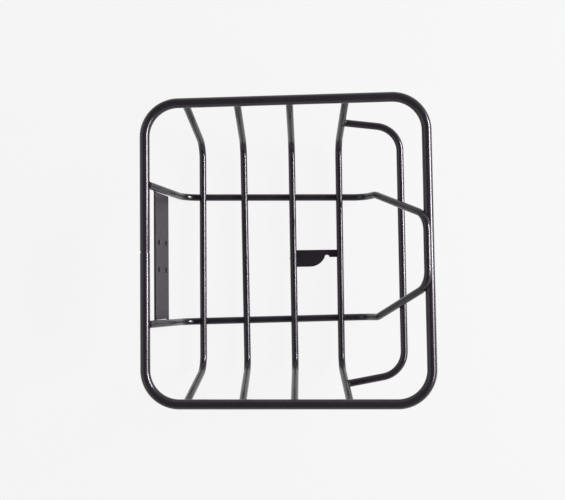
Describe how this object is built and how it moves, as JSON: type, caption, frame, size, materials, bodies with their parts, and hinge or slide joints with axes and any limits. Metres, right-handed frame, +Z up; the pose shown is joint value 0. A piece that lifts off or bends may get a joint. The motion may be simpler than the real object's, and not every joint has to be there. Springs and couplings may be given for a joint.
{
  "type": "bicycle front luggage carrier",
  "caption": "Front luggage carrier for a bicycle, welded from bent round steel tube: rounded top hoop, sunken cross-bars, runner rails, bumper and a bolted mounting plate.",
  "frame": {"origin": "middle of the carrier in plan, on the surface that the two runner rails rest on", "axes": "+X forward, away from the mounting plate; +Y to the left; +Z up"},
  "size_m": [0.3752, 0.4048, 0.1495],
  "materials": {
    "hoop_coat": "semi-gloss black powder coat",
    "cross_bar_coat": "semi-gloss black powder coat",
    "runner_coat": "semi-gloss black powder coat",
    "bumper_coat": "semi-gloss black powder coat",
    "plate_coat": "semi-gloss black powder coat",
    "hook_coat": "semi-gloss black powder coat",
    "weld_coat": "semi-gloss black powder coat"
  },
  "bodies": {
    "root": {"hoop_tube": "hoop_coat", "cross_bar_1": "cross_bar_coat", "cross_bar_2": "cross_bar_coat", "cross_bar_3": "cross_bar_coat", "cross_bar_4": "cross_bar_coat", "runner_tube": "runner_coat", "bumper_hoop": "bumper_coat", "mounting_plate": "plate_coat", "hook_plate": "hook_coat", "hoop_joint_weld": "weld_coat", "cross_bar_1_end_welds": "weld_coat", "cross_bar_1_rail_welds": "weld_coat", "cross_bar_2_end_welds": "weld_coat", "cross_bar_2_rail_welds": "weld_coat", "cross_bar_3_end_welds": "weld_coat", "cross_bar_3_rail_welds": "weld_coat", "cross_bar_4_end_welds": "weld_coat", "cross_bar_4_rail_welds": "weld_coat", "runner_rear_welds": "weld_coat", "runner_front_welds": "weld_coat", "bumper_welds": "weld_coat", "mounting_plate_welds": "weld_coat", "hook_plate_welds": "weld_coat"}
  },
  "joints": []
}
